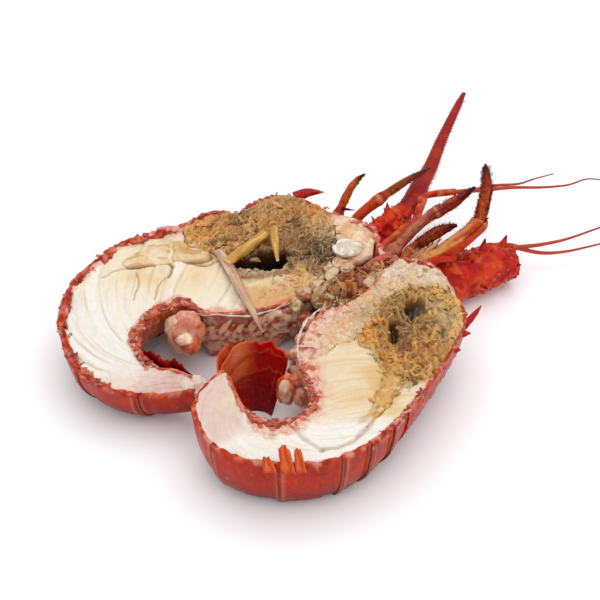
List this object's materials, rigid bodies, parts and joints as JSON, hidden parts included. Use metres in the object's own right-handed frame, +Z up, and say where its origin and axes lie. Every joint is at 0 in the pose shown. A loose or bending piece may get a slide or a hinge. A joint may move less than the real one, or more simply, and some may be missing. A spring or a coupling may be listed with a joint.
{
  "type": "halved cooked spiny lobster",
  "caption": "Cooked spiny lobster split lengthwise and opened out, both halves cut side up with curled tails, joined at the mouth, with legs, feelers and tail fan.",
  "frame": {"origin": "bottom centre of the whole lobster's bounding box, on the surface it lies on", "axes": "+X from the tails towards the feelers, +Y towards the left half's back, +Z up"},
  "size_m": [0.277, 0.2734, 0.0526],
  "materials": {
    "shell_red": "glossy cooked shell",
    "dark_shell": "glossy dark tail fan",
    "leg_red": "satin leg shell",
    "meat_white": "moist cooked meat",
    "meat_cream": "moist cooked meat",
    "tomalley": "crumbly paste",
    "belly_skin": "soft skin",
    "yellow_rod": "satin"
  },
  "bodies": {
    "root": {"left_antenna_base": "shell_red", "left_antenna_whip": "shell_red", "left_antennule": "leg_red", "left_back_muscle": "meat_cream", "left_carapace": "shell_red", "left_chest_meat": "meat_cream", "left_chest_skin": "belly_skin", "left_gland": "meat_white", "left_head_meat": "meat_cream", "left_horn": "shell_red", "left_leg_bases": "meat_cream", "left_swimmeret": "belly_skin", "left_tail_end_plate": "shell_red", "left_tail_fan": "dark_shell", "left_tail_meat": "meat_white", "left_tail_plate_1": "shell_red", "left_tail_plate_2": "shell_red", "left_tail_plate_3": "shell_red", "left_tail_plate_4": "shell_red", "left_tail_plate_5": "shell_red", "left_tail_plate_6": "shell_red", "left_tail_skin": "belly_skin", "left_tomalley": "tomalley", "leg_1": "leg_red", "leg_2": "leg_red", "leg_3": "leg_red", "leg_4": "leg_red", "leg_5": "leg_red", "mouth_parts": "meat_cream", "pink_blade": "belly_skin", "right_antenna_base": "shell_red", "right_antennule": "leg_red", "right_carapace": "shell_red", "right_chest_meat": "meat_cream", "right_chest_skin": "belly_skin", "right_eye_stalk": "shell_red", "right_fan_inner": "dark_shell", "right_fan_outer": "dark_shell", "right_head_meat": "meat_cream", "right_horn": "shell_red", "right_leg_bases": "meat_cream", "right_shell_shard_1": "shell_red", "right_shell_shard_2": "shell_red", "right_shell_shard_3": "shell_red", "right_swimmeret": "belly_skin", "right_tail_end_plate": "shell_red", "right_tail_meat": "meat_white", "right_tail_plate_1": "shell_red", "right_tail_plate_2": "shell_red", "right_tail_plate_3": "shell_red", "right_tail_plate_4": "shell_red", "right_tail_plate_5": "shell_red", "right_tail_plate_6": "shell_red", "right_tail_skin": "belly_skin", "right_tomalley": "tomalley", "right_tomalley_strip": "tomalley", "yellow_rod_1": "yellow_rod", "yellow_rod_2": "yellow_rod"}
  },
  "joints": []
}
